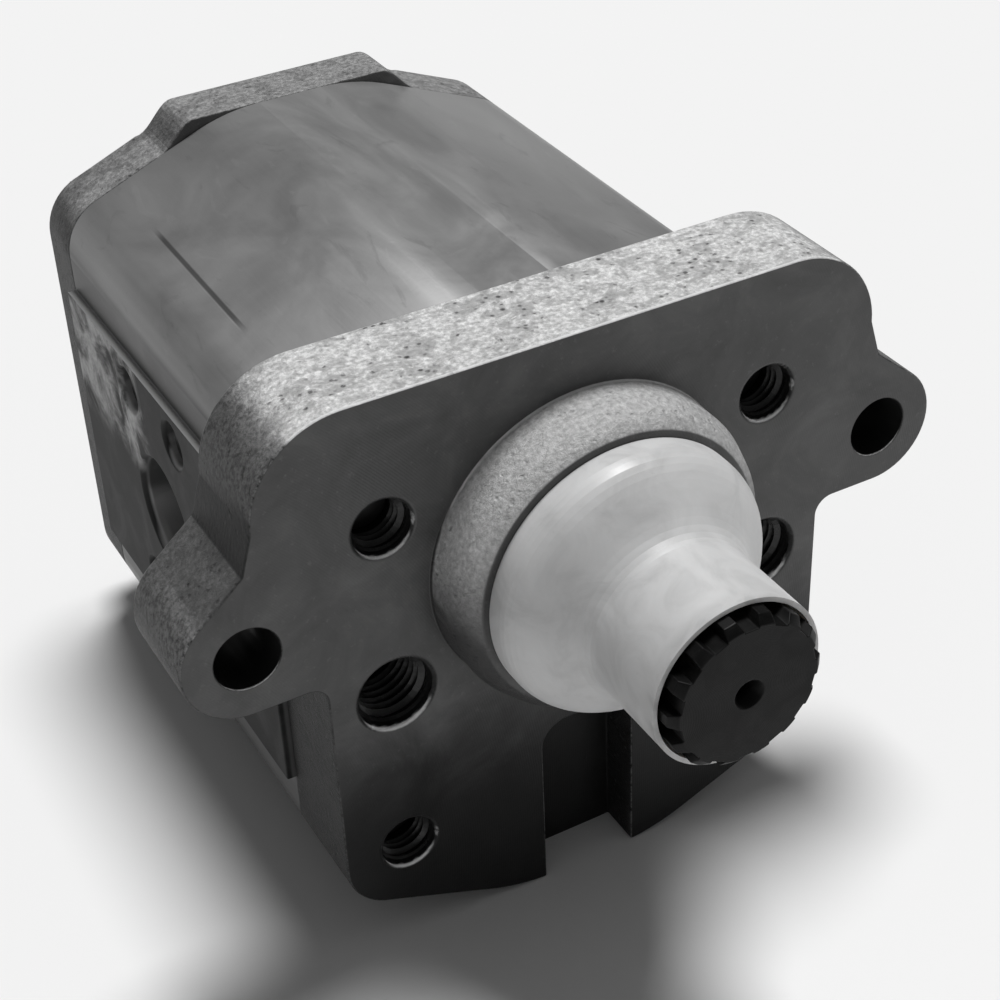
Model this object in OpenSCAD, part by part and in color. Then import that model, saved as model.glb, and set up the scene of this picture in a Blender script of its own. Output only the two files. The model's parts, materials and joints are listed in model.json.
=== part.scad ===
// Hydraulic gear pump, external gear type, with a two-bolt ear flange.
// Frame: origin on the drive shaft axis in the plane of the flange's mounting face.
// -Y is the way the shaft points, +Y runs back to the rear cover, +Z is up.

/* [Mounting flange] */
// Thickness of the front flange
flange_t = 24; // [20:0.5:28]
// Distance between the two ear holes
ear_spacing = 146; // [140:1:150]
// Diameter of the ear holes
ear_hole_d = 13.5; // [11:0.5:14]
// Outer radius of each ear
ear_r = 13.5; // [12.5:0.5:15]
// Diameter of the pilot
pilot_d = 69; // [66:1:72]
// Height of the pilot above the mounting face
pilot_h = 14; // [12:0.5:15]
// Height of the flat top of the flange above the shaft axis
flange_top = 47; // [46:0.5:49]

/* [Body] */
// Width of the body and rear cover
body_w = 116; // [114:1:120]
// Height of the body
body_h = 136; // [134:1:140]
// Length of the body between flange and cover
body_l = 107; // [100:1:115]
// Radius of the body's long corners
corner_r = 13; // [10:1:16]
// Height of the straight side above and below the body's middle
side_half = 42.5; // [42:0.5:46]
// Slope of the body's roof, in degrees
roof_slope = 22; // [18:1:24]
// Thickness of the rear cover
cover_t = 14; // [12:0.5:18]

/* [Gears] */
// Number of teeth on each gear
teeth = 11; // [11:1:12]
// Module of the gears
gear_module = 4; // [3.9:0.05:4]
// Pressure angle
pressure_angle = 25; // [24:0.5:26]
// Width of the gears
gear_w = 52; // [40:1:56]
// Radius of the journals
journal_r = 16.8; // [16:0.1:16.9]

/* [Shaft end] */
// Distance from the mounting face to the end of the shaft
shaft_out = 57; // [54:0.5:62]
// Number of spline teeth
spline_teeth = 14; // [13:1:15]
// Outer diameter of the spline
spline_d = 33.4; // [32:0.1:33.5]
// Length of the spline
spline_l = 35; // [28:1:36]

/* [Ports] */
// Bore of the inlet port, on the -X side
inlet_d = 26; // [22:1:30]
// Bore of the outlet port, on the +X side
outlet_d = 21; // [18:1:26]
// Distance of the ports behind the mounting face
port_y = 82; // [76:1:84]
// How far the port pads stand off the body
pad_out = 2; // [1.5:0.5:3]
// Pitch of the four port screws along the body
port_pitch_y = 26.2; // [25:0.1:27]
// Pitch of the four port screws across the body
port_pitch_z = 52.4; // [50:0.1:53]

/* [Assembly bolts] */
// Nominal diameter of the assembly bolts
bolt_d = 12; // [11:0.5:12]
// Distance between the two columns of bolts
bolt_cols = 87; // [86:0.5:88]
// Distance between the upper and the lower row of bolts
bolt_rows = 81; // [80:0.5:84]

/* [Shaft guard] */
// Wall of the plastic shaft guard
guard_wall = 1; // [0.9:0.1:1.1]

/* [Hidden] */
$fn = 96;

// one shared middle plane for casings, bolts and ports
mid_z = -gear_module * teeth / 2;
centre_dist = gear_module * teeth;
driven_z = -centre_dist;
body_y0 = flange_t;
body_y1 = flange_t + body_l;
cover_y1 = body_y1 + cover_t;
half_w = body_w / 2;
half_h = body_h / 2;
// foot of the roof, where it leaves the round corner. The slope is sunk a little into the
// corner's arc and the ridge's, so that it crosses them and isn't tangent to them
roof_sink = 0.03;
roof_x = half_w - corner_r + (corner_r - roof_sink) * sin(roof_slope);
roof_z = side_half + (corner_r - roof_sink) * cos(roof_slope);
// round ridge between the slope and the flat top: middle of its arc, and the run of the outline
ridge_r = 45;
ridge_z = half_h - ridge_r;
ridge_x = roof_x - (ridge_r - roof_sink - (roof_z - ridge_z) * cos(roof_slope)) / sin(roof_slope);
roof_ridge = [
    [ridge_x + (ridge_r - roof_sink) * sin(roof_slope), ridge_z + (ridge_r - roof_sink) * cos(roof_slope)],
    [ridge_x, half_h]
];
col = bolt_cols / 2;
row = bolt_rows / 2;

// how far a cut runs past the face it opens
over = 1;

// pilot: chamfer at its front edge, then a slight taper
pilot_edge = 2;
pilot_taper = 1.5;
pilot_taper_l = 4.5;

// gears
pitch_r = centre_dist / 2;
tip_r = pitch_r + 0.85 * gear_module;
root_r = pitch_r - 1.15 * gear_module;
base_r = pitch_r * cos(pressure_angle);
backlash = 0.24;
cavity_r = tip_r + 0.1;
gear_y0 = body_y0 + (body_l - gear_w) / 2;
gear_y1 = gear_y0 + gear_w;
root_spread = 0.9;
face_gap = 0.05;
driven_end = 3;

// shaft end: depth of the spline, share of a step that a tooth takes at its root and its tip,
// chamfer, and the centre drilling
spline_depth = 2;
spline_root_share = 0.28;
spline_tip_share = 0.18;
shaft_chamfer = 1.6;
centre_mouth_r = 3.2;
centre_r = 1.6;
centre_cone = 2.8;
centre_depth = 6;

// bearings
bush_wall = 2.5;
bush_r = journal_r + bush_wall;
bush_inset = 0.5;
run_gap = 0.03;
block_gap = 0.05;
// recess for the end of a journal in the flange and the cover
journal_recess = 5;
journal_room = 1;

// shaft seal, from the front face of the pilot inwards
seal_r = 26;
seal_w = 8;
seal_y0 = -pilot_h + 3.6;
ring_groove_y = -pilot_h + 1.6;
ring_t = 1.6;
ring_groove_depth = 1.5;
shaft_hole_r = journal_r + 1.5;

// raised lug of the rear cover: half the width of its flat, and the run of its S-shaped side
lug_x = 24;
lug_run = 10;
lug_steps = 10;

// screws and holes
hex_af = 1.5 * bolt_d;
head_h = 0.62 * bolt_d;
washer_t = 2.5;
washer_gap = 0.4;
thread_gap = 0.1;
bolt_clear = 0.5;
bolt_mouth = 0.8;
bolt_end_y = 10;
mid_hole_r = 8;
mid_hole_depth = 19;
mid_mouth = 1;
port_screw_r = 5;
port_screw_depth = 20;
screw_mouth = 0.9;
port_depth = 20;
port_step = 3;
port_mouth = 1.6;
dowel_r = 4;
dowel_l = 12;
dowel_end_gap = 0.3;
dowel_x = 32;
dowel_dz = 46;
dowel_places = [[-dowel_x, mid_z + dowel_dz], [dowel_x, mid_z - dowel_dz]];
pad_half_z = 34;

// flange outline: round shoulders, and the corner where each ear starts
shoulder_r = 20;
shoulder_x = 49.5;
notch_x = 72;
notch_z = 18.5;
ear_fillet = 4;

// relief pocket in the front of the flange, open at the bottom
pocket_half = 11;
pocket_depth = 10;
pocket_top = -46;
pocket_bottom = mid_z - half_h - over;
pocket_r = 6;

// seals between flange, body and cover, and on the pressure side of the bearing blocks
seal_groove_w = 2.6;
seal_groove_depth = 1.9;
body_seal_r = cavity_r + 4;
balance_w = 2.4;
balance_depth = 2.2;
balance_out = 2;
balance_cut = 4;
backup_t = 1.5;

// shaft seal, its garter spring, and the snap ring with its open angle in degrees
garter_r = 0.8;
lip_in = journal_r + 0.05;
lip_root = lip_in + 3.5;
garter_y = seal_y0 + 5;
garter_ring_r = lip_in + 2.7 + garter_r;
case_wall = 1;
ring_gap = 50;
ring_w = 2.6;
ring_lug_r = 3.1;
ring_lug_hole_r = 1.1;
ring_lug_in = 3.4;
ring_lug_turn = 4;

// shaft guard: outer radii of its rim and neck, length of its bell, and where its tip ends
guard_rim = 29.5;
guard_neck = 18.1;
guard_skirt = 2.5;
guard_bell_l = 17;
guard_y0 = -pilot_h - 0.1;
guard_tip = -shaft_out + 4;
bell_steps = 14;
eps = 0.01;

// ---------------------------------------------------------------- helpers

// cylinder along +Y, from y0 to y1
module rod(r, y0, y1) {
    translate([0, y0, 0])
        rotate([-90, 0, 0])
            cylinder(r = r, h = y1 - y0);
}

// 2D outline in X (across) and Z (up), extruded from y0 to y1
module plate(y0, y1) {
    translate([0, y1, 0])
        rotate([90, 0, 0])
            linear_extrude(height = y1 - y0)
                children();
}

// turned profile about the shaft axis: points are [radius, y]
module turned() {
    rotate([-90, 0, 0])
        rotate_extrude()
            children();
}

// chamfered mouth of a round hole that opens towards -Y
module mouth(r, y, c) {
    translate([0, y - eps, 0])
        rotate([-90, 0, 0])
            cylinder(r1 = r + c + eps, r2 = r, h = c + eps);
}

module at_bolts() {
    for (x = [-col, col])
        for (z = [mid_z - row, mid_z + row])
            translate([x, 0, z])
                children();
}

module at_both_gears() {
    for (z = [0, driven_z])
        translate([0, 0, z])
            children();
}

// ---------------------------------------------------------------- outlines

// the points of one quarter of an outline, carried round the other three quarters
function four_quarters(q) =
    let(last = len(q) - 1)
    concat(
        q,
        [for (i = [last : -1 : 0]) [-q[i][0], q[i][1]]],
        [for (i = [0 : last]) [-q[i][0], -q[i][1]]],
        [for (i = [last : -1 : 0]) [q[i][0], -q[i][1]]]
    );

// outline about the casing's middle: straight sides, round corners, a sloping roof and its
// mirror image below. ridge is the run of points from the slope up to the flat top
module roofed_outline(ridge) {
    for (sx = [-1, 1])
        for (sz = [-1, 1])
            translate([sx * (half_w - corner_r), sz * side_half])
                circle(r = corner_r);
    square([body_w, 2 * side_half], center = true);
    polygon(four_quarters(concat([[roof_x, roof_z]], ridge)));
}

// outline of the body, with round ridges
module casing_outline() {
    roofed_outline(roof_ridge);
    for (sx = [-1, 1])
        for (sz = [-1, 1])
            translate([sx * ridge_x, sz * ridge_z])
                circle(r = ridge_r);
}

// figure-eight of the two gear chambers
module eight(r) {
    circle(r = r);
    translate([0, driven_z])
        circle(r = r);
}

// ---------------------------------------------------------------- castings

module flange_outline() {
    ear_x = ear_spacing / 2;
    slope = ear_r * sqrt(0.5);
    // lower half follows the casing
    intersection() {
        translate([0, mid_z])
            casing_outline();
        translate([-half_w, -2 * half_h])
            square([body_w, 2 * half_h]);
    }
    for (s = [-1, 1]) {
        translate([s * shoulder_x, flange_top - shoulder_r])
            circle(r = shoulder_r);
        translate([s * ear_x, 0])
            circle(r = ear_r);
        // ear web: slopes down at 45 degrees to the ear, flat underneath
        polygon([
            [0, -ear_r], [s * ear_x, -ear_r], [s * ear_x, 0], [s * (ear_x + slope), slope],
            [s * notch_x, notch_z], [s * (shoulder_x + shoulder_r), flange_top - shoulder_r],
            [s * shoulder_x, flange_top - shoulder_r], [0, flange_top - shoulder_r]
        ]);
    }
    translate([-shoulder_x, flange_top - shoulder_r])
        square([2 * shoulder_x, shoulder_r]);
    // small fillets where the ears meet the sides
    for (s = [-1, 1])
        difference() {
            polygon([
                [s * (half_w - over), -ear_r + over],
                [s * (half_w + ear_fillet), -ear_r + over],
                [s * (half_w + ear_fillet), -ear_r],
                [s * half_w, -ear_r - ear_fillet],
                [s * (half_w - over), -ear_r - ear_fillet]
            ]);
            translate([s * (half_w + ear_fillet), -ear_r - ear_fillet])
                circle(r = ear_fillet);
        }
}

// relief pocket in the lower front of the flange, with round upper corners
module relief_pocket() {
    plate(-over, pocket_depth) {
        for (s = [-1, 1])
            translate([s * (pocket_half - pocket_r), pocket_top - pocket_r])
                circle(r = pocket_r);
        translate([-pocket_half, pocket_bottom])
            square([2 * pocket_half, pocket_top - pocket_r - pocket_bottom]);
        translate([-pocket_half + pocket_r, pocket_top - pocket_r])
            square([2 * (pocket_half - pocket_r), pocket_r]);
    }
}

// groove or seal loop around the gear chambers: a figure-eight of constant width
module loop_outline(inner_r, w) {
    difference() {
        eight(inner_r + w);
        eight(inner_r);
    }
}

module front_flange() {
    color("dimgray")
        difference() {
            union() {
                plate(0, flange_t)
                    flange_outline();
                turned()
                    polygon([
                        [0, over],
                        [0, -pilot_h],
                        [pilot_d / 2 - pilot_taper - pilot_edge, -pilot_h],
                        [pilot_d / 2 - pilot_taper, -pilot_h + pilot_edge],
                        [pilot_d / 2, -pilot_h + pilot_edge + pilot_taper_l],
                        [pilot_d / 2, over]
                    ]);
            }
            rod(shaft_hole_r, -pilot_h - over, flange_t + over);
            rod(seal_r, -pilot_h - over, seal_y0 + seal_w);
            rod(seal_r + ring_groove_depth, ring_groove_y, ring_groove_y + ring_t + 0.1);
            translate([0, 0, driven_z])
                rod(journal_r + journal_room, flange_t - journal_recess, flange_t + over);
            at_bolts() {
                rod(bolt_d / 2, -over, flange_t + over);
                mouth(bolt_d / 2, 0, bolt_mouth);
            }
            for (x = [-col, col])
                translate([x, 0, mid_z]) {
                    rod(mid_hole_r, -over, mid_hole_depth);
                    mouth(mid_hole_r, 0, mid_mouth);
                }
            for (x = [-ear_spacing / 2, ear_spacing / 2])
                translate([x, 0, 0])
                    rod(ear_hole_d / 2, -over, flange_t + over);
            relief_pocket();
            plate(flange_t - seal_groove_depth, flange_t + over)
                loop_outline(body_seal_r, seal_groove_w);
            for (p = dowel_places)
                translate([p[0], 0, p[1]])
                    rod(dowel_r, flange_t - dowel_l / 2, flange_t + over);
        }
}

// port on side s: a bore of diameter d in the pad, then a narrower passage into the gear chamber
module port_cut(s, d) {
    translate([0, port_y, mid_z])
        rotate([0, s * 90, 0]) {
            cylinder(r = d / 2 - port_step, h = half_w + pad_out);
            translate([0, 0, half_w + pad_out - port_depth])
                cylinder(r = d / 2, h = port_depth + over);
            translate([0, 0, half_w + pad_out - port_mouth + 0.1])
                cylinder(r1 = d / 2, r2 = d / 2 + port_mouth, h = port_mouth);
        }
    for (y = [-1, 1])
        for (z = [-1, 1])
            translate([s * (half_w + pad_out), port_y + y * port_pitch_y / 2, mid_z + z * port_pitch_z / 2])
                rotate([0, -s * 90, 0]) {
                    translate([0, 0, -over])
                        cylinder(r = port_screw_r, h = port_screw_depth + over);
                    translate([0, 0, -eps])
                        cylinder(r1 = port_screw_r + screw_mouth, r2 = port_screw_r, h = screw_mouth);
                }
}

module pump_body() {
    color("darkgray")
        difference() {
            union() {
                translate([0, 0, mid_z])
                    plate(body_y0, body_y1)
                        casing_outline();
                for (s = [-1, 1])
                    translate([s > 0 ? 0 : -half_w - pad_out, body_y0, mid_z - pad_half_z])
                        cube([half_w + pad_out, body_l, 2 * pad_half_z]);
            }
            plate(body_y0 - over, body_y1 + over)
                eight(cavity_r);
            port_cut(-1, inlet_d);
            port_cut(1, outlet_d);
            at_bolts()
                rod(bolt_d / 2 + bolt_clear, body_y0 - over, body_y1 + over);
            for (p = dowel_places)
                translate([p[0], 0, p[1]]) {
                    rod(dowel_r, body_y0 - over, body_y0 + dowel_l / 2);
                    rod(dowel_r, body_y1 - dowel_l / 2, body_y1 + over);
                }
        }
}

// the cover's raised lug: an S-shaped run from the slope of the roof up to a wider flat
lug_foot = roof_z + (roof_x - lug_x - lug_run) * tan(roof_slope);
lug_ridge = [
    for (i = [lug_steps : -1 : 0])
        let(t = i / lug_steps)
            [lug_x + t * lug_run, half_h - (half_h - lug_foot) * (1 - cos(180 * t)) / 2]
];

module rear_cover() {
    color("gray")
        difference() {
            translate([0, 0, mid_z])
                plate(body_y1, cover_y1)
                    roofed_outline(lug_ridge);
            at_bolts()
                rod(bolt_d / 2 + bolt_clear, body_y1 - over, cover_y1 + over);
            at_both_gears()
                rod(journal_r + journal_room, body_y1 - over, body_y1 + journal_recess);
            plate(body_y1 - over, body_y1 + seal_groove_depth)
                loop_outline(body_seal_r, seal_groove_w);
            for (p = dowel_places)
                translate([p[0], 0, p[1]])
                    rod(dowel_r, body_y1 - over, body_y1 + dowel_l / 2);
        }
}

// ---------------------------------------------------------------- gears and shafts

// angle in degrees between the start of an involute and its point at radius r
function inv(r) =
    r <= base_r ? 0 : let(a = acos(base_r / r)) tan(a) * 180 / PI - a;
tooth_half = 90 / teeth - (backlash / 2) / pitch_r * 180 / PI;
flank_steps = 6;
flank_start = max(base_r, root_r);

function flank(s) = [
    for (i = [0 : flank_steps])
        let(r = flank_start + (tip_r - flank_start) * i / flank_steps)
            [r, s * (tooth_half + inv(pitch_r) - inv(r))]
];
function polar(p) = [p[0] * cos(p[1]), p[0] * sin(p[1])];
function tooth(k) =
    let(
        a = 360 / teeth * k,
        f = flank(-1),
        g = flank(1),
        root_a = tooth_half + inv(pitch_r) + root_spread
    )
    concat(
        [polar([root_r, a - root_a])],
        [for (i = [0 : flank_steps]) polar([f[i][0], a + f[i][1]])],
        [for (i = [flank_steps : -1 : 0]) polar([g[i][0], a + g[i][1]])],
        [polar([root_r, a + root_a])]
    );

module gear_outline(turn) {
    rotate(turn)
        polygon([for (k = [0 : teeth - 1]) each tooth(k)]);
}

module spline_outline() {
    r1 = spline_d / 2;
    r0 = r1 - spline_depth;
    step = 360 / spline_teeth;
    polygon([
        for (k = [0 : spline_teeth - 1])
            each [
                polar([r0, (k - spline_root_share) * step]),
                polar([r1, (k - spline_tip_share) * step]),
                polar([r1, (k + spline_tip_share) * step]),
                polar([r0, (k + spline_root_share) * step])
            ]
    ]);
}

module drive_gear_shaft() {
    color("#1c1c1e")
        difference() {
            union() {
                plate(gear_y0, gear_y1)
                    gear_outline(90);
                rod(journal_r, -shaft_out + spline_l, body_y1 + driven_end);
                intersection() {
                    plate(-shaft_out, -shaft_out + spline_l + eps)
                        spline_outline();
                    turned()
                        polygon([
                            [0, -shaft_out],
                            [spline_d / 2 - shaft_chamfer, -shaft_out],
                            [spline_d / 2, -shaft_out + shaft_chamfer],
                            [spline_d / 2, -shaft_out + spline_l + over],
                            [0, -shaft_out + spline_l + over]
                        ]);
                }
            }
            // centre drilling in the end face
            translate([0, -shaft_out - eps, 0])
                rotate([-90, 0, 0]) {
                    cylinder(r1 = centre_mouth_r, r2 = centre_r, h = centre_cone);
                    cylinder(r = centre_r, h = centre_depth);
                }
        }
}

module driven_gear_shaft() {
    color("#2a2a2c")
        translate([0, 0, driven_z]) {
            plate(gear_y0, gear_y1)
                gear_outline(-90 + 180 / teeth);
            rod(journal_r, flange_t - driven_end, body_y1 + driven_end);
        }
}

// ---------------------------------------------------------------- bearings

module block_solid(y0, y1) {
    difference() {
        plate(y0, y1)
            eight(cavity_r - block_gap);
        at_both_gears()
            rod(bush_r, y0 - over, y1 + over);
    }
}

// three-shaped line between the high-pressure half and the rest of a block's outer face
module balance_outline(w) {
    r = bush_r + balance_out + balance_w / 2;
    difference() {
        eight(r + w / 2);
        eight(r - w / 2);
        translate([-2 * cavity_r, driven_z - cavity_r])
            square([2 * cavity_r - balance_cut, 2 * cavity_r + centre_dist]);
    }
}

module front_bearing_block() {
    color("burlywood")
        difference() {
            block_solid(body_y0, gear_y0 - face_gap);
            plate(body_y0 - over, body_y0 + balance_depth + backup_t)
                balance_outline(balance_w);
        }
}

module rear_bearing_block() {
    color("burlywood")
        difference() {
            block_solid(gear_y1 + face_gap, body_y1);
            plate(body_y1 - balance_depth - backup_t, body_y1 + over)
                balance_outline(balance_w);
        }
}

module bush(y0, y1) {
    difference() {
        rod(bush_r, y0, y1);
        rod(journal_r + run_gap, y0 - over, y1 + over);
    }
}

module front_bushes() {
    color("darkgoldenrod")
        at_both_gears()
            bush(body_y0 + bush_inset, gear_y0 - bush_inset);
}

module rear_bushes() {
    color("darkgoldenrod")
        at_both_gears()
            bush(gear_y1 + bush_inset, body_y1 - bush_inset);
}

// ---------------------------------------------------------------- seals

module front_balance_seal() {
    color("#151515")
        plate(body_y0 + backup_t, body_y0 + balance_depth + backup_t)
            balance_outline(balance_w);
}

module front_backup_ring() {
    color("ivory")
        plate(body_y0, body_y0 + backup_t)
            balance_outline(balance_w);
}

module rear_balance_seal() {
    color("#151515")
        plate(body_y1 - balance_depth - backup_t, body_y1 - backup_t)
            balance_outline(balance_w);
}

module rear_backup_ring() {
    color("ivory")
        plate(body_y1 - backup_t, body_y1)
            balance_outline(balance_w);
}

module front_body_seal() {
    color("#151515")
        plate(flange_t - seal_groove_depth, flange_t)
            loop_outline(body_seal_r, seal_groove_w);
}

module rear_body_seal() {
    color("#151515")
        plate(body_y1, body_y1 + seal_groove_depth)
            loop_outline(body_seal_r, seal_groove_w);
}

module shaft_seal_case() {
    color("silver")
        translate([0, seal_y0, 0])
            turned()
                polygon([
                    [seal_r, 0], [seal_r, seal_w], [seal_r - case_wall, seal_w],
                    [seal_r - case_wall, case_wall], [lip_root, case_wall], [lip_root, 0]
                ]);
}

module shaft_seal_lip() {
    color("#3a1d12")
        translate([0, seal_y0, 0])
            turned()
                polygon([
                    [lip_root, 0], [lip_root, case_wall], [seal_r - case_wall, case_wall],
                    [seal_r - case_wall, 2.2], [lip_in + 3.2, 2.2], [lip_in + 2.4, 6.6],
                    [lip_in + 0.9, 7], [lip_in, 5.6], [lip_in + 1.2, 2.2], [lip_in, 0.6], [lip_in, 0]
                ]);
}

module seal_garter_spring() {
    color("lightgray")
        translate([0, garter_y, 0])
            rotate([-90, 0, 0])
                rotate_extrude()
                    translate([garter_ring_r, 0])
                        circle(r = garter_r, $fn = 24);
}

// internal snap ring with two drilled lugs at its open end
module seal_retaining_ring() {
    color("#2f2f33")
        plate(ring_groove_y, ring_groove_y + ring_t)
            difference() {
                union() {
                    difference() {
                        circle(r = seal_r + ring_groove_depth - 0.1);
                        circle(r = seal_r - ring_w);
                        polygon([
                            [0, 0],
                            polar([2 * seal_r, 90 - ring_gap / 2]),
                            polar([2 * seal_r, 90 + ring_gap / 2])
                        ]);
                    }
                    for (s = [-1, 1])
                        rotate(90 + s * (ring_gap / 2 + ring_lug_turn))
                            translate([seal_r - ring_lug_in, 0])
                                circle(r = ring_lug_r);
                }
                for (s = [-1, 1])
                    rotate(90 + s * (ring_gap / 2 + ring_lug_turn))
                        translate([seal_r - ring_lug_in, 0])
                            circle(r = ring_lug_hole_r, $fn = 24);
            }
}

// ---------------------------------------------------------------- fasteners

module assembly_bolts() {
    color("#303236")
        at_bolts() {
            rod(bolt_d / 2 - thread_gap, bolt_end_y, cover_y1 + washer_t + over);
            translate([0, cover_y1 + washer_t + head_h, 0])
                rotate([90, 0, 0])
                    intersection() {
                        cylinder(r = hex_af / sqrt(3), h = head_h, $fn = 6);
                        cylinder(r1 = hex_af / 2 - 0.3, r2 = hex_af / 2 - 0.3 + head_h * 1.9, h = head_h);
                    }
        }
}

module bolt_washers() {
    color("lightslategray")
        at_bolts()
            difference() {
                rod(bolt_d, cover_y1, cover_y1 + washer_t);
                rod(bolt_d / 2 + washer_gap, cover_y1 - over, cover_y1 + washer_t + over);
            }
}

module dowel(y) {
    rod(dowel_r, y - dowel_l / 2 + dowel_end_gap, y + dowel_l / 2 - dowel_end_gap);
}

module front_dowels() {
    color("silver")
        for (p = dowel_places)
            translate([p[0], 0, p[1]])
                dowel(body_y0);
}

module rear_dowels() {
    color("silver")
        for (p = dowel_places)
            translate([p[0], 0, p[1]])
                dowel(body_y1);
}

// ---------------------------------------------------------------- shaft guard

// outer radius of the bell at t, from its rim (t = 0) to the neck (t = 1)
function bell_r(t) = guard_neck + (guard_rim - guard_neck) * (cos(180 * pow(t, 1.15)) + 1) / 2;

// the bell's wall between two points of the profile is offset square to the outer line
function bell_point(t) = [bell_r(t), guard_y0 - guard_skirt - guard_bell_l * t];
function bell_normal(t) =
    let(
        d = bell_point(min(1, t + 0.01)) - bell_point(max(0, t - 0.01)),
        n = [-d[1], d[0]]
    )
    n / norm(n);

module shaft_guard() {
    steps = [for (i = [0 : bell_steps]) i / bell_steps];
    outer = [for (t = steps) bell_point(t)];
    inner = [for (i = [bell_steps : -1 : 0]) bell_point(steps[i]) - guard_wall * bell_normal(steps[i])];
    color("whitesmoke")
        turned()
            polygon(concat(
                [[guard_rim, guard_y0]],
                outer,
                [[guard_neck, guard_tip], [guard_neck - guard_wall, guard_tip]],
                inner,
                [[guard_rim - guard_wall, guard_y0]]
            ));
}

// ---------------------------------------------------------------- nodes

front_flange();
pump_body();
rear_cover();
drive_gear_shaft();
driven_gear_shaft();
front_bearing_block();
rear_bearing_block();
front_bushes();
rear_bushes();
front_balance_seal();
front_backup_ring();
rear_balance_seal();
rear_backup_ring();
front_body_seal();
rear_body_seal();
shaft_seal_case();
shaft_seal_lip();
seal_garter_spring();
seal_retaining_ring();
assembly_bolts();
bolt_washers();
front_dowels();
rear_dowels();
shaft_guard();
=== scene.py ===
"""Hydraulic gear pump with an eared flange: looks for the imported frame.

Metres, in the CAD's own frame: the shaft points along -Y, +Z is up.
"""
import json
import math

import bmesh
import bpy
from mathutils import Matrix, Vector


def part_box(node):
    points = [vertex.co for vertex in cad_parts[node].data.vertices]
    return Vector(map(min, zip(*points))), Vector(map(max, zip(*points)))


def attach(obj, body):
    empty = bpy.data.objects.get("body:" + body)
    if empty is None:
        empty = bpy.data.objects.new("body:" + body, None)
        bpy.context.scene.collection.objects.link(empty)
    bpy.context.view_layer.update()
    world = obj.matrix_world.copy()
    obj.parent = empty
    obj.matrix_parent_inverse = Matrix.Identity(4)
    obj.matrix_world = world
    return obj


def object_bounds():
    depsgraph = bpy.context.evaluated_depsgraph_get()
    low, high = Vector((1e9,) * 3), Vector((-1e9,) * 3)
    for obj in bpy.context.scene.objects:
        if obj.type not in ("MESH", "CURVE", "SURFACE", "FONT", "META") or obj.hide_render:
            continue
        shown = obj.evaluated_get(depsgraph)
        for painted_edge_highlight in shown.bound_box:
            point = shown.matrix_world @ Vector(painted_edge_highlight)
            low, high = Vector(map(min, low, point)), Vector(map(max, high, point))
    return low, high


MM = 0.001

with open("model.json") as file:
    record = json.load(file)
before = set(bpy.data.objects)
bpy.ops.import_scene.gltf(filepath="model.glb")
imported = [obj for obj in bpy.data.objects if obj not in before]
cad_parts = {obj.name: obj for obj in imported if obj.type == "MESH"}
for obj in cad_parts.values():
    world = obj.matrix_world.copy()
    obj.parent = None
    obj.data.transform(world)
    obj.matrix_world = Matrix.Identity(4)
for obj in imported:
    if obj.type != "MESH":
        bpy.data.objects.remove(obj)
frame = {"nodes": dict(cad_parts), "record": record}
cad_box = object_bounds()


# ------------------------------------------------------------------ places, from the frame

def span(node, axis):
    """Lowest and highest coordinate of a CAD node along an axis (0, 1 or 2)."""
    low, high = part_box(node)
    return low[axis], high[axis]


def mount(name):
    """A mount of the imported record."""
    return next(m for m in frame["record"]["mounts"] if m["name"] == name)


FLANGE_BACK = span("front_flange", 1)[1]
BODY_BACK = span("pump_body", 1)[1]
COVER_BACK = span("rear_cover", 1)[1]
# half the width of the casing, without the pads
HALF_W = span("rear_cover", 0)[1]
PAD_X = span("pump_body", 0)[1]
MID_Z = mount("inlet_port")["pos_m"][2]
PORT_Y = mount("inlet_port")["pos_m"][1]
BOLT_X = mount("flange_threads")["dims"]["spacing_x_mm"] * MM / 2
# half the distance between the upper and the lower pair of bolts
BOLT_Z = 40.5 * MM
EAR_X = mount("ear_holes")["dims"]["spacing_x_mm"] * MM / 2
SHAFT_END = span("drive_gear_shaft", 1)[0]


# ------------------------------------------------------------------ node graphs

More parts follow.
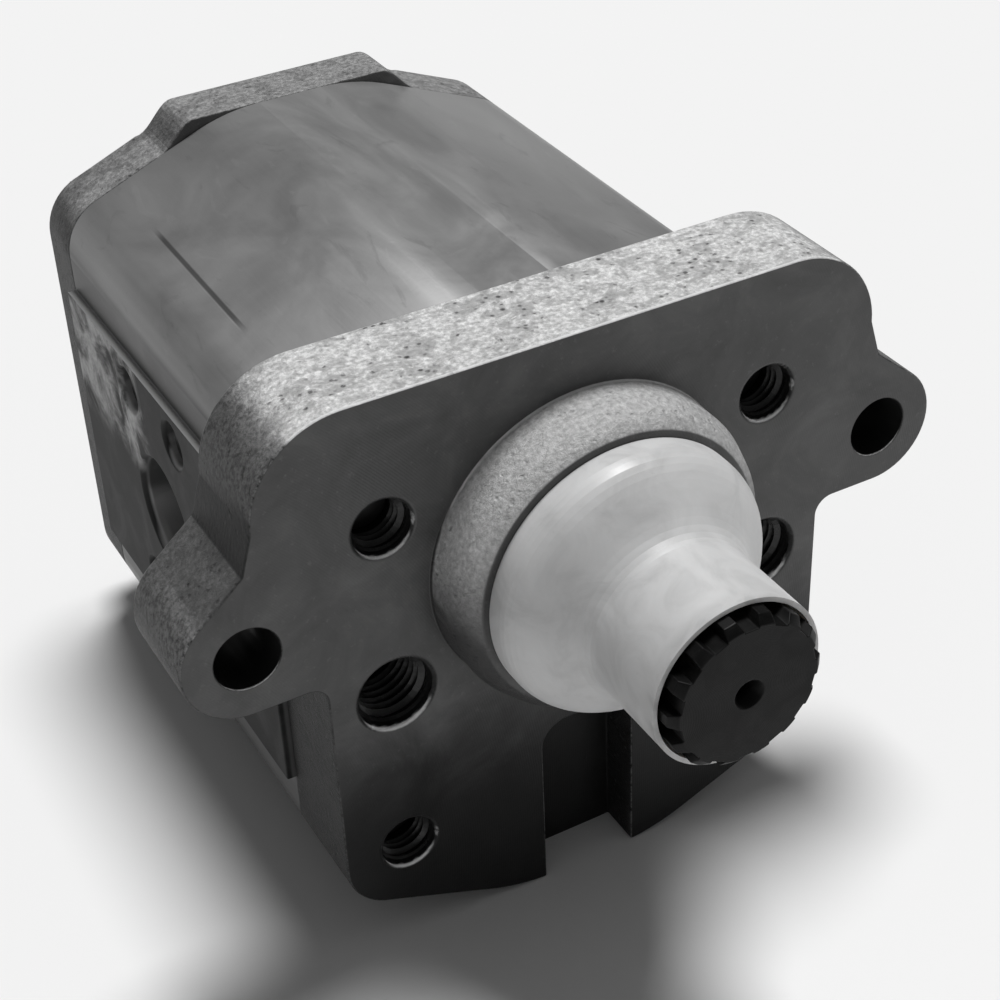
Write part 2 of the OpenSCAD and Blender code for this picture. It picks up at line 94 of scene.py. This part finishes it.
class Graph:
    """A material with short ways to add the nodes it needs. All patterns are in object metres."""

    def __init__(self, name):
        self.mat = bpy.data.materials.new(name)
        self.mat.use_nodes = True
        self.tree = self.mat.node_tree
        self.tree.nodes.clear()
        self.out = self.add("ShaderNodeOutputMaterial")
        self.shader = self.add("ShaderNodeBsdfPrincipled")
        self.link(self.shader.outputs[0], self.out.inputs[0])
        coords = self.add("ShaderNodeTexCoord")
        self.place = coords.outputs["Object"]
        self.facing = coords.outputs["Normal"]
        split = self.add("ShaderNodeSeparateXYZ")
        self.link(self.place, split.inputs[0])
        self.x, self.y, self.z = split.outputs
        turned = self.add("ShaderNodeSeparateXYZ")
        self.link(self.facing, turned.inputs[0])
        self.nx, self.ny, self.nz = turned.outputs

    def add(self, kind, **settings):
        node = self.tree.nodes.new(kind)
        for key, value in settings.items():
            setattr(node, key, value)
        return node

    def link(self, a, b):
        self.tree.links.new(a, b)

    def put(self, socket, value):
        """Links a socket to another one, or sets it to a plain value."""
        if isinstance(value, bpy.types.NodeSocket):
            self.link(value, socket)
        else:
            socket.default_value = value

    def math(self, operation, a, b=0.0, c=0.0):
        node = self.add("ShaderNodeMath", operation=operation)
        for socket, value in zip(node.inputs, (a, b, c)):
            self.put(socket, value)
        return node.outputs[0]

    def times(self, product, *others):
        """Product of masks and numbers."""
        for other in others:
            product = self.math("MULTIPLY", product, other)
        return product

    def size_of(self, value):
        """A value without its sign."""
        return self.math("ABSOLUTE", value)

    def wave(self, value, pitch):
        """Wave from -1 to 1 that repeats every pitch metres of value."""
        return self.math("SINE", self.math("MULTIPLY", value, 2 * math.pi / pitch))

    def raised(self, wave):
        """A wave from -1 to 1, brought to 0 to 1."""
        return self.math("MULTIPLY_ADD", wave, 0.5, 0.5)

    def step(self, value, low, high, out_low=0.0, out_high=1.0):
        """Smooth step of a value from low to high."""
        node = self.add("ShaderNodeMapRange", interpolation_type="SMOOTHSTEP")
        for socket, v in zip(node.inputs, (value, low, high, out_low, out_high)):
            self.put(socket, v)
        return node.outputs[0]

    def stretched(self, scale, turn=(0, 0, 0)):
        """The object's coordinates, scaled apart along X, Y and Z."""
        node = self.add("ShaderNodeMapping")
        self.link(self.place, node.inputs["Vector"])
        node.inputs["Scale"].default_value = scale
        node.inputs["Rotation"].default_value = turn
        return node.outputs[0]

    def noise(self, size, detail=4.0, rough=0.55, warp=0.0, vector=None):
        """Noise whose features are about size metres across."""
        node = self.add("ShaderNodeTexNoise")
        self.link(vector or self.place, node.inputs["Vector"])
        node.inputs["Scale"].default_value = 1 / size
        node.inputs["Detail"].default_value = detail
        node.inputs["Roughness"].default_value = rough
        node.inputs["Distortion"].default_value = warp
        return node.outputs["Fac"]

    def cells(self, size):
        """Distance from the middles of cells about size metres across."""
        node = self.add("ShaderNodeTexVoronoi")
        self.link(self.place, node.inputs["Vector"])
        node.inputs["Scale"].default_value = 1 / size
        return node.outputs["Distance"]

    def ramp(self, value, stops):
        """Colour ramp: stops are (position, grey or colour)."""
        node = self.add("ShaderNodeValToRGB")
        self.link(value, node.inputs[0])
        points = node.color_ramp.elements
        while len(points) < len(stops):
            points.new(0.5)
        for point, (position, colour) in zip(points, stops):
            point.position = position
            point.color = (*tone(colour), 1)
        return node.outputs[0]

    def mix(self, factor, a, b):
        """Colour that goes from a to b."""
        node = self.add("ShaderNodeMix", data_type="RGBA")
        self.put(node.inputs["Factor"], factor)
        self.put(node.inputs[6], paint(a))
        self.put(node.inputs[7], paint(b))
        return node.outputs[2]

    def blend(self, factor, a, b):
        """Plain number that goes from a to b."""
        node = self.add("ShaderNodeMix", data_type="FLOAT")
        self.put(node.inputs["Factor"], factor)
        self.put(node.inputs[2], a)
        self.put(node.inputs[3], b)
        return node.outputs[0]

    def radius(self, cx=0.0, cz=0.0):
        """Distance from the line along Y through (cx, cz)."""
        dx = self.math("SUBTRACT", self.x, cx)
        dz = self.math("SUBTRACT", self.z, cz)
        both = self.math("ADD", self.math("MULTIPLY", dx, dx), self.math("MULTIPLY", dz, dz))
        return self.math("SQRT", both)

    def bump(self, height, depth, under=None, strength=1.0):
        """Bump of a height map from 0 to 1 that is depth metres tall."""
        node = self.add("ShaderNodeBump")
        node.inputs["Strength"].default_value = strength
        node.inputs["Distance"].default_value = depth
        self.link(height, node.inputs["Height"])
        if under:
            self.link(under, node.inputs["Normal"])
        return node.outputs[0]

    def finish(self, colour, rough, metallic=0.0, normal=None, **plain):
        """Sets the shader and gives the material back; plain holds values for its other sockets."""
        for key, value in (("Base Color", paint(colour)), ("Roughness", rough), ("Metallic", metallic)):
            self.put(self.shader.inputs[key], value)
        if normal:
            self.link(normal, self.shader.inputs["Normal"])
        for key, value in plain.items():
            self.shader.inputs[key.replace("_", " ")].default_value = value
        return self.mat


def tone(value):
    """A grey number as a colour, or a colour as it is."""
    return (value, value, value) if isinstance(value, (int, float)) else tuple(value)


def paint(value):
    """A socket as it is, or a grey number or colour as a colour socket takes it."""
    return value if isinstance(value, bpy.types.NodeSocket) else (*tone(value), 1)


# ------------------------------------------------------------------ materials

def near_holes(g, holes, outside, inside):
    """1 near the round holes along Y, given as (distance from the middle plane, z, radius).

    It falls from 1 to 0 between inside and outside, both counted outwards from the hole's wall.
    """
    across = g.size_of(g.x)
    mask = None
    for hx, hz, r in holes:
        dx = g.math("SUBTRACT", across, hx)
        dz = g.math("SUBTRACT", g.z, hz)
        square = g.math("ADD", g.times(dx, dx), g.times(dz, dz))
        near = g.step(g.math("SQRT", square), r + outside, r + inside)
        mask = g.math("MAXIMUM", mask, near) if mask else near
    return mask


def shaded_hole_walls(g, holes):
    """1 on the walls of the holes, which painted shade darkens."""
    return g.times(near_holes(g, holes, 0.5 * MM, 0.15 * MM), g.step(g.size_of(g.ny), 0.5, 0.3))


def painted_lip_glints(g, holes):
    """1 on the lower edge of each hole's mouth, where a painted glint goes."""
    along = g.size_of(g.ny)
    slanted = g.times(g.step(along, 0.5, 0.62), g.step(along, 0.95, 0.85))
    return g.times(near_holes(g, holes, 1.3 * MM, 0.9 * MM), slanted, g.step(g.nz, 0.3, 0.62))


def flat_faces(g, planes):
    """1 on what faces along Y, and on whatever lies in one of the planes across Y."""
    face = g.step(g.size_of(g.ny), 0.85, 0.97)
    for plane in planes:
        off = g.size_of(g.math("SUBTRACT", g.y, plane))
        face = g.math("MAXIMUM", face, g.step(off, 0.05 * MM, 0.02 * MM))
    return face


def milled_colour(g, face_tone, clouds, fine):
    """Milled face: clouds of stain and fine specks, with painted shade darkening its lower half."""
    colour = g.ramp(clouds, [(0.3, face_tone * 0.72), (0.52, face_tone), (0.75, face_tone * 1.45)])
    colour = g.mix(g.step(fine, 0.56, 0.72, 0, 0.35), colour, face_tone * 1.9)
    # painted shade: below the pilot and guard the face darkens almost to black, with a cloudy edge
    low = g.step(g.math("ADD", g.z, g.times(clouds, 20 * MM)), -12 * MM, -46 * MM)
    return g.mix(g.times(low, 0.9), colour, face_tone * 0.12)


def rim_colour(g, rim_tone, shaded_side_tone, grain, coarse, deep):
    """Rough rim: grains and pits that darken it, with painted light that makes up-facing faces bright
    and the others dark.
    """
    # painted light and shade: faces that point up take the bright rim tone, the others the dark side
    # tone
    lit_top_mask = g.step(g.nz, 0.5, 0.97)
    lit_top_colour = g.ramp(grain, [(0.28, rim_tone * 0.45), (0.5, rim_tone), (0.68, min(1, rim_tone * 1.7))])
    shaded_side_colour = g.ramp(grain, [(0.28, shaded_side_tone * 0.6), (0.5, shaded_side_tone), (0.68, shaded_side_tone * 1.6)])
    colour = g.mix(lit_top_mask, shaded_side_colour, lit_top_colour)
    dull = g.mix(lit_top_mask, shaded_side_tone * 0.6, rim_tone * 0.5)
    colour = g.mix(g.step(coarse, 0.46, 0.6, 0, 0.65), colour, dull)
    colour = g.mix(deep, colour, rim_tone * 0.12)
    # painted shade darkens the ears to the dark side tone, and a painted highlight draws a thin bright
    # line along the front corner of the rim
    shaded_ears = g.step(g.size_of(g.x), EAR_X - 15 * MM, EAR_X - 9 * MM, 0, 0.8)
    colour = g.mix(shaded_ears, colour, shaded_side_colour)
    front = g.step(g.y, 0.75 * MM, 0.4 * MM)
    painted_edge_highlight = g.times(front, g.step(g.nz, 0.25, 0.6, 0, 0.85), g.step(shaded_ears, 0.4, 0.1))
    colour = g.mix(painted_edge_highlight, colour, 0.8)
    # painted shade: the turned pilot in front of the face is paler on top and dark below, following the
    # way its surface faces
    turned = g.ramp(grain, [(0.3, rim_tone * 0.5), (0.5, rim_tone * 0.8), (0.68, rim_tone * 1.1)])
    turned = g.mix(g.step(g.nz, 0.4, -0.2, 0, 0.95), turned, shaded_side_tone * 1.2)
    return g.mix(g.step(g.y, -0.2 * MM, -0.9 * MM), colour, turned)


def cast_iron(name, face_tone, rim_tone, shaded_side_tone, pits, holes, planes):
    """Casting with milled faces in the given planes and a rough, pitted rim."""
    g = Graph(name)
    face = flat_faces(g, planes)
    clouds = g.noise(18 * MM, 6, 0.62, 0.6)
    fine = g.noise(1.6 * MM, 5, 0.7)
    grain = g.noise(1.1 * MM, 8, 0.72)
    coarse = g.noise(4.5 * MM, 6, 0.66, 0.8, g.stretched((0.75, 1, 1)))
    deep = g.times(g.step(g.cells(1.9 * MM), 0.34, 0.12), g.step(coarse, 0.47, 0.62))
    rim = rim_colour(g, rim_tone, shaded_side_tone, grain, coarse, g.times(deep, pits))
    colour = g.mix(face, rim, milled_colour(g, face_tone, clouds, fine))
    # bright worn edges, with a painted highlight that makes those facing up brighter
    edge = g.add("ShaderNodeNewGeometry").outputs["Pointiness"]
    worn = g.times(g.step(edge, 0.53, 0.6), g.step(grain, 0.35, 0.6), g.step(g.nz, -0.3, 0.5, 0.1, 0.8))
    worn = g.times(worn, g.math("SUBTRACT", 1, face))
    colour = g.mix(worn, colour, min(1, rim_tone * 1.7))
    # painted highlight: a bright glint on the lower lip of each hole
    colour = g.mix(painted_lip_glints(g, holes), colour, 0.8)
    hole = shaded_hole_walls(g, holes)
    # painted shade: the walls inside the holes are near black
    colour = g.mix(hole, colour, 0.022)
    rough = g.blend(face, g.step(grain, 0.2, 0.8, 0.42, 0.62), g.step(clouds, 0.3, 0.7, 0.36, 0.5))
    rough = g.blend(hole, rough, 0.3)
    relief = g.math("SUBTRACT", g.math("MULTIPLY_ADD", coarse, 0.8, grain), g.times(deep, 0.7))
    relief = g.times(relief, g.blend(hole, 1.0, 0.05))
    # the face mill leaves arcs about a line that lies beside the casting
    arcs = g.raised(g.wave(g.radius(-0.16, -0.07), 0.55 * MM))
    pick = g.add("ShaderNodeMix", data_type="VECTOR")
    g.put(pick.inputs["Factor"], face)
    g.link(g.bump(relief, 0.6 * MM, strength=0.8), pick.inputs[4])
    g.link(g.bump(arcs, 0.012 * MM, g.bump(fine, 0.05 * MM)), pick.inputs[5])
    return g.finish(colour, rough, 0.35, pick.outputs[1], Specular_IOR_Level=0.2)


def pad_colour(g):
    """Milled port pad: darkened by painted shade, with a painted highlight patch at its upper rear that
    is faint on the +X side.
    """
    patch = g.noise(14 * MM, 5, 0.6, 0.7)
    # painted shade: the pad's own tones are near black
    colour = g.ramp(patch, [(0.35, 0.01), (0.5, 0.016), (0.66, 0.035)])
    rear = g.step(g.math("ADD", g.y, g.times(patch, 60 * MM)), 118 * MM, 132 * MM)
    rear = g.times(rear, g.step(g.z, MID_Z + 2 * MM, MID_Z + 12 * MM))
    speckle = g.step(g.noise(1.8 * MM, 6, 0.72), 0.3, 0.7, 0.6, 1)
    # painted highlight: a speckled bright patch at the upper rear
    painted_patch_highlight = g.times(rear, g.step(patch, 0.36, 0.6), speckle, g.step(g.x, 1 * MM, -1 * MM, 0.25, 1))
    return g.mix(painted_patch_highlight, colour, 0.45)


def roof_scratch(g):
    """1 on one scratch along the left slope of the roof."""
    line = g.math("SUBTRACT", g.math("ADD", g.x, 46 * MM), g.math("MULTIPLY", g.y, 0.01))
    scratch = g.times(g.step(g.size_of(line), 0.7 * MM, 0.25 * MM), g.step(g.z, 20 * MM, 24 * MM))
    return g.times(scratch, g.step(g.y, 54 * MM, 62 * MM), g.step(g.y, 108 * MM, 100 * MM))


def aluminium_body():
    """Extruded body: satin, with drawn lines along Y, smears, and milled port pads."""
    g = Graph("extruded_body")
    along = g.noise(0.9 * MM, 4, 0.6, 0.0, g.stretched((1, 0.012, 1)))
    smear = g.noise(26 * MM, 5, 0.55, 1.4, g.stretched((1, 0.55, 1), (0, 0, 0.5)))
    streak = g.noise(9 * MM, 6, 0.6, 2.2, g.stretched((1, 0.35, 1), (0, 0, -0.35)))
    colour = g.ramp(smear, [(0.3, 0.2), (0.5, 0.235), (0.7, 0.27)])
    colour = g.mix(g.step(streak, 0.6, 0.7, 0, 0.35), colour, 0.3)
    colour = g.mix(g.step(streak, 0.4, 0.3, 0, 0.3), colour, 0.13)
    colour = g.mix(g.step(along, 0.35, 0.7, 0, 0.15), colour, 0.26)
    # painted shade darkens the faces that point sideways or down
    colour = g.mix(g.times(g.step(g.nz, 0.3, -0.1), 0.75), colour, 0.02)
    # milled pads stand proud of the sides, and a painted highlight brightens the upper ledge of each
    across = g.size_of(g.x)
    pad = g.step(across, HALF_W + 0.5 * MM, HALF_W + 1.2 * MM)
    colour = g.mix(pad, colour, pad_colour(g))
    painted_ledge_highlight = g.times(g.step(across, HALF_W - 1.5 * MM, HALF_W - 0.4 * MM), g.step(g.nz, 0.4, 0.8))
    colour = g.mix(painted_ledge_highlight, colour, 0.36)
    scratch = roof_scratch(g)
    colour = g.mix(g.times(scratch, 0.8), colour, 0.05)
    rough = g.blend(pad, g.step(smear, 0.3, 0.7, 0.36, 0.5), 0.6)
    lines = g.bump(along, 0.02 * MM, g.bump(scratch, -0.1 * MM))
    lines = g.bump(g.noise(1.4 * MM, 3, 0.6), 0.015 * MM, lines)
    return g.finish(colour, rough, g.blend(pad, 0.4, 0.05), lines, Specular_IOR_Level=0.15)


def turned_steel(name, shade, rough_low, rough_high):
    """Turned and oiled steel, with fine rings across the axis and a film of oil."""
    g = Graph(name)
    ring = 0.35 * MM
    oil = g.noise(7 * MM, 5, 0.6, 1.0)
    end = g.step(g.size_of(g.ny), 0.8, 0.95)
    marks = g.raised(g.blend(end, g.wave(g.y, ring), g.wave(g.radius(), ring)))
    colour = g.ramp(oil, [(0.3, shade * 0.6), (0.5, shade), (0.72, shade * 1.8)])
    rough = g.step(oil, 0.3, 0.7, rough_low, rough_high)
    normal = g.bump(marks, 0.008 * MM, g.bump(g.noise(0.8 * MM, 4), 0.02 * MM))
    return g.finish(colour, rough, 0.15, normal, Specular_IOR_Level=0.15)


def black_oxide(name, shade):
    """Blackened steel with bright worn edges."""
    g = Graph(name)
    cloud = g.noise(3 * MM, 5, 0.6)
    edge = g.add("ShaderNodeNewGeometry").outputs["Pointiness"]
    colour = g.ramp(cloud, [(0.3, shade * 0.7), (0.55, shade), (0.75, shade * 1.8)])
    colour = g.mix(g.step(edge, 0.53, 0.6, 0, 0.8), colour, 0.3)
    normal = g.bump(g.noise(0.5 * MM, 4, 0.6), 0.03 * MM)
    return g.finish(colour, g.step(cloud, 0.3, 0.7, 0.38, 0.52), 0.75, normal)


def zinc(name):
    """Zinc plating with a faint spangle."""
    g = Graph(name)
    spangle = g.cells(2.2 * MM)
    colour = g.ramp(spangle, [(0.1, 0.34), (0.6, 0.46)])
    normal = g.bump(g.noise(0.6 * MM, 4, 0.6), 0.02 * MM)
    return g.finish(colour, g.step(spangle, 0.1, 0.8, 0.3, 0.42), 0.9, normal)


def moulded_plastic():
    """Pale moulded guard: soft sheen, faint flow rings and a little handling dirt."""
    g = Graph("guard_plastic")
    dirt = g.noise(11 * MM, 6, 0.6, 0.9)
    fleck = g.noise(1.2 * MM, 5, 0.65)
    colour = g.ramp(dirt, [(0.32, 0.5), (0.5, 0.58), (0.7, 0.62)])
    colour = g.mix(g.step(fleck, 0.66, 0.78, 0, 0.4), colour, 0.4)
    handled = g.times(g.step(g.y, SHAFT_END + 9 * MM, SHAFT_END + 3 * MM), g.step(dirt, 0.38, 0.6))
    colour = g.mix(g.times(handled, 0.45), colour, 0.15)
    flow = g.raised(g.wave(g.y, 2.1 * MM))
    normal = g.bump(flow, 0.01 * MM, g.bump(fleck, 0.02 * MM))
    rough = g.step(dirt, 0.3, 0.7, 0.34, 0.5)
    return g.finish(
        colour, rough, 0.0, normal, Subsurface_Weight=0.12, Subsurface_Scale=0.004,
        Subsurface_Radius=(1.0, 0.9, 0.8)
    )


def rubber(name, shade):
    """Rubber or soft plastic with a pale bloom."""
    g = Graph(name)
    bloom = g.noise(4 * MM, 5, 0.6)
    paler = tuple(min(1, 1.6 * c + 0.01) for c in tone(shade))
    colour = g.mix(g.step(bloom, 0.45, 0.75, 0, 0.5), shade, paler)
    normal = g.bump(g.noise(0.3 * MM, 3), 0.02 * MM)
    return g.finish(colour, g.step(bloom, 0.3, 0.7, 0.5, 0.7), 0.0, normal)


def machined(name, shade, metallic=0.9):
    """Plain machined metal for the inner pieces and threads: tool lines and a soft tarnish."""
    g = Graph(name)
    tarnish = g.noise(6 * MM, 5, 0.6, 0.6)
    darker = tuple(0.65 * c for c in tone(shade))
    colour = g.mix(g.step(tarnish, 0.35, 0.7), shade, darker)
    tool = g.raised(g.wave(g.radius(), 0.4 * MM))
    normal = g.bump(tool, 0.008 * MM, g.bump(g.noise(0.7 * MM), 0.01 * MM))
    return g.finish(colour, g.step(tarnish, 0.3, 0.7, 0.26, 0.42), metallic, normal)


def painted_floor():
    """Plain pale studio floor."""
    g = Graph("studio_floor")
    colour = g.mix(g.noise(0.9, 2, 0.5), 0.8, 0.83)
    return g.finish(colour, 0.9, 0.0)


# ------------------------------------------------------------------ dressing the CAD nodes

def soften(node, width):
    """Rounds a CAD node's sharp edges with modifiers, which leave its own mesh as it is."""
    o = frame["nodes"][node]
    weld = o.modifiers.new("weld", "WELD")
    weld.merge_threshold = 1e-6
    flatten = o.modifiers.new("flatten", "DECIMATE")
    flatten.decimate_type = "DISSOLVE"
    flatten.angle_limit = math.radians(0.6)
    bevel = o.modifiers.new("bevel", "BEVEL")
    bevel.width = width
    bevel.segments = 2
    bevel.limit_method = "ANGLE"
    bevel.angle_limit = math.radians(32)
    bevel.use_clamp_overlap = False
    bevel.harden_normals = True


def dress(node, material):
    """Gives a CAD node its material."""
    o = frame["nodes"][node]
    o.data.materials.clear()
    o.data.materials.append(material)


# radii of the holes at their mouths
CORNER_R = 6.8 * MM
MIDDLE_R = 9 * MM
EAR_R = 6.75 * MM
COVER_R = 6.5 * MM
FLANGE_HOLES = [
    (BOLT_X, MID_Z + BOLT_Z, CORNER_R), (BOLT_X, MID_Z, MIDDLE_R), (BOLT_X, MID_Z - BOLT_Z, CORNER_R),
    (EAR_X, 0, EAR_R)
]
COVER_HOLES = [(BOLT_X, MID_Z + BOLT_Z, COVER_R)]
IRON = cast_iron(
    "flange_iron", face_tone=0.095, rim_tone=0.62, shaded_side_tone=0.035, pits=1.0,
    holes=FLANGE_HOLES, planes=(0, FLANGE_BACK)
)
COVER_IRON = cast_iron(
    "cover_iron", face_tone=0.12, rim_tone=0.26, shaded_side_tone=0.06, pits=0.7,
    holes=COVER_HOLES, planes=(BODY_BACK, COVER_BACK)
)
STEEL_DARK = turned_steel("shaft_steel", 0.004, 0.35, 0.55)
STEEL_BRIGHT = machined("ground_steel", 0.42)
BLACK = black_oxide("bolt_black", 0.035)
RUBBER = rubber("seal_rubber", 0.02)

finishes = {
    "front_flange": IRON,
    "pump_body": aluminium_body(),
    "rear_cover": COVER_IRON,
    "drive_gear_shaft": STEEL_DARK,
    "driven_gear_shaft": turned_steel("driven_steel", 0.06, 0.25, 0.4),
    "front_bearing_block": machined("front_block_metal", (0.4, 0.38, 0.34)),
    "rear_bearing_block": machined("rear_block_metal", (0.4, 0.38, 0.34)),
    "front_bushes": machined("front_bronze", (0.42, 0.26, 0.1)),
    "rear_bushes": machined("rear_bronze", (0.42, 0.26, 0.1)),
    "front_balance_seal": RUBBER,
    "rear_balance_seal": RUBBER,
    "front_body_seal": RUBBER,
    "rear_body_seal": RUBBER,
    "front_backup_ring": rubber("front_backup_plastic", (0.6, 0.57, 0.48)),
    "rear_backup_ring": rubber("rear_backup_plastic", (0.6, 0.57, 0.48)),
    "shaft_seal_case": machined("seal_case_steel", 0.5),
    "shaft_seal_lip": rubber("seal_lip_rubber", (0.05, 0.022, 0.014)),
    "seal_garter_spring": STEEL_BRIGHT,
    "seal_retaining_ring": black_oxide("snap_ring_phosphate", 0.05),
    "assembly_bolts": BLACK,
    "bolt_washers": zinc("washer_zinc"),
    "front_dowels": STEEL_BRIGHT,
    "rear_dowels": STEEL_BRIGHT,
    "shaft_guard": moulded_plastic(),
}
for node, material in finishes.items():
    dress(node, material)

edge_widths = {
    "front_flange": 0.5 * MM,
    "pump_body": 0.35 * MM,
    "rear_cover": 0.5 * MM,
    "drive_gear_shaft": 0.2 * MM,
    "assembly_bolts": 0.25 * MM,
    "bolt_washers": 0.2 * MM,
}
for node, width in edge_widths.items():
    soften(node, width)


# ------------------------------------------------------------------ threads in the tapped holes

# a thread's ridge, in shares of its pitch, and how far its foot is sunk into the wall
RIDGE_HEIGHT = 0.58
HALF_FOOT = 0.46
HALF_CREST = 0.06
SUNK = 0.08 * MM
STEPS_A_TURN = 30


def add_thread(bm, mouth, inward, radius, pitch, depth):
    """A closed helical ridge on the wall of a hole, from its mouth inwards."""
    inward = Vector(inward).normalized()
    side = inward.orthogonal().normalized()
    other = inward.cross(side)
    height = RIDGE_HEIGHT * pitch
    turns = depth / pitch - 1
    count = int(turns * STEPS_A_TURN)
    rings = []
    for i in range(count + 1):
        a = 2 * math.pi * i / STEPS_A_TURN
        out = math.cos(a) * side + math.sin(a) * other
        run_in = min(1, i / STEPS_A_TURN, (count - i) / STEPS_A_TURN)
        middle = Vector(mouth) + inward * (pitch * (i / STEPS_A_TURN + 0.5))
        wall = radius + SUNK
        crest = radius - height * run_in
        rings.append([
            bm.verts.new(middle - inward * HALF_FOOT * pitch + out * wall),
            bm.verts.new(middle - inward * HALF_CREST * pitch + out * crest),
            bm.verts.new(middle + inward * HALF_CREST * pitch + out * crest),
            bm.verts.new(middle + inward * HALF_FOOT * pitch + out * wall),
        ])
    for a, b in zip(rings, rings[1:]):
        for i in range(4):
            j = (i + 1) % 4
            bm.faces.new((a[i], b[i], b[j], a[j]))
    bm.faces.new(rings[0])
    bm.faces.new(list(reversed(rings[-1])))


def threads(name, mouths, inward, size, material):
    """One piece with a thread at each mouth; size is its radius, pitch and depth."""
    bm = bmesh.new()
    for mouth in mouths:
        add_thread(bm, mouth, inward, *size)
    bmesh.ops.recalc_face_normals(bm, faces=bm.faces)
    mesh = bpy.data.meshes.new(name)
    bm.to_mesh(mesh)
    bm.free()
    mesh.materials.append(material)
    o = bpy.data.objects.new(name, mesh)
    bpy.context.scene.collection.objects.link(o)
    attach(o, "housing")


THREAD_IRON = machined("thread_iron", 0.03, 0.6)
THREAD_ALU = machined("thread_aluminium", 0.06, 0.6)
# radius, pitch and depth of each thread
CORNER_THREAD = (6 * MM, 1.75 * MM, 8.8 * MM)
MIDDLE_THREAD = (8 * MM, 2 * MM, 16 * MM)
SCREW_THREAD = (5 * MM, 1.5 * MM, 18 * MM)

corners = [(sx * BOLT_X, 1 * MM, MID_Z + sz * BOLT_Z) for sx in (-1, 1) for sz in (-1, 1)]
threads("flange_corner_threads", corners, (0, 1, 0), CORNER_THREAD, THREAD_IRON)
middles = [(sx * BOLT_X, 1.2 * MM, MID_Z) for sx in (-1, 1)]
threads("flange_middle_threads", middles, (0, 1, 0), MIDDLE_THREAD, THREAD_IRON)
for port, side in (("inlet", -1), ("outlet", 1)):
    pattern = mount(port + "_screws")["dims"]
    dy = pattern["spacing_x_mm"] * MM / 2
    dz = pattern["spacing_y_mm"] * MM / 2
    mouth_x = side * (PAD_X - 1 * MM)
    places = [(mouth_x, PORT_Y + sy * dy, MID_Z + sz * dz) for sy in (-1, 1) for sz in (-1, 1)]
    threads(port + "_screw_threads", places, (-side, 0, 0), SCREW_THREAD, THREAD_ALU)


# ------------------------------------------------------------------ stage, light and camera

FLOOR_Z = cad_box[0][2]
FLOOR_HALF = 6.0
WORLD_STRENGTH = 0.14

floor_mesh = bpy.data.meshes.new("studio_floor")
floor_mesh.from_pydata(
    [(sx * FLOOR_HALF, sy * FLOOR_HALF, FLOOR_Z) for sx, sy in ((-1, -1), (1, -1), (1, 1), (-1, 1))],
    [], [(0, 1, 2, 3)]
)
floor_mesh.materials.append(painted_floor())
floor = bpy.data.objects.new("studio_floor", floor_mesh)
bpy.context.scene.collection.objects.link(floor)


def soft_sun(name, azimuth, elevation, spread, strength):
    """Distant lamp as soft as a large softbox; azimuth is counted from +Y towards +X."""
    a, e = math.radians(azimuth), math.radians(elevation)
    away = Vector((math.sin(a) * math.cos(e), math.cos(a) * math.cos(e), math.sin(e)))
    lamp = bpy.data.lights.new(name, "SUN")
    lamp.angle = math.radians(spread)
    lamp.energy = strength
    o = bpy.data.objects.new(name, lamp)
    o.location = away
    o.rotation_euler = away.to_track_quat("Z", "Y").to_euler()
    bpy.context.scene.collection.objects.link(o)


soft_sun("key", azimuth=48, elevation=75, spread=20, strength=3.15)

world = bpy.data.worlds.new("studio")
world.use_nodes = True
background = world.node_tree.nodes["Background"]
background.inputs["Color"].default_value = (1, 1, 1, 1)
background.inputs["Strength"].default_value = WORLD_STRENGTH
bpy.context.scene.world = world

# the camera looks along this azimuth from +Y towards +X, down and rolled by these degrees, at AIM
VIEW_AZIMUTH = 27.83
VIEW_DOWN = 35.24
VIEW_ROLL = -2.62
AIM = Vector((-0.0107, 0.0150, 0.0037))
DISTANCE = 0.41
FOCAL_MM = 73.2
SENSOR_MM = 36


def photo_camera():
    """Camera at the photograph's viewing angle."""
    a, e = math.radians(VIEW_AZIMUTH), math.radians(VIEW_DOWN)
    forward = Vector((math.sin(a) * math.cos(e), math.cos(a) * math.cos(e), -math.sin(e)))
    level = forward.cross(Vector((0, 0, 1))).normalized()
    roll = Matrix.Rotation(-math.radians(VIEW_ROLL), 3, forward)
    right = roll @ level
    up = right.cross(forward)
    lens = bpy.data.cameras.new("camera")
    lens.lens = FOCAL_MM
    lens.sensor_width = SENSOR_MM
    lens.clip_start = 0.01
    o = bpy.data.objects.new("camera", lens)
    turn = Matrix((right, up, -forward)).transposed()
    o.matrix_world = Matrix.Translation(AIM - forward * DISTANCE) @ turn.to_4x4()
    bpy.context.scene.collection.objects.link(o)
    bpy.context.scene.camera = o


photo_camera()
# the materials' tones are set for this transform
bpy.context.scene.view_settings.view_transform = "Standard"
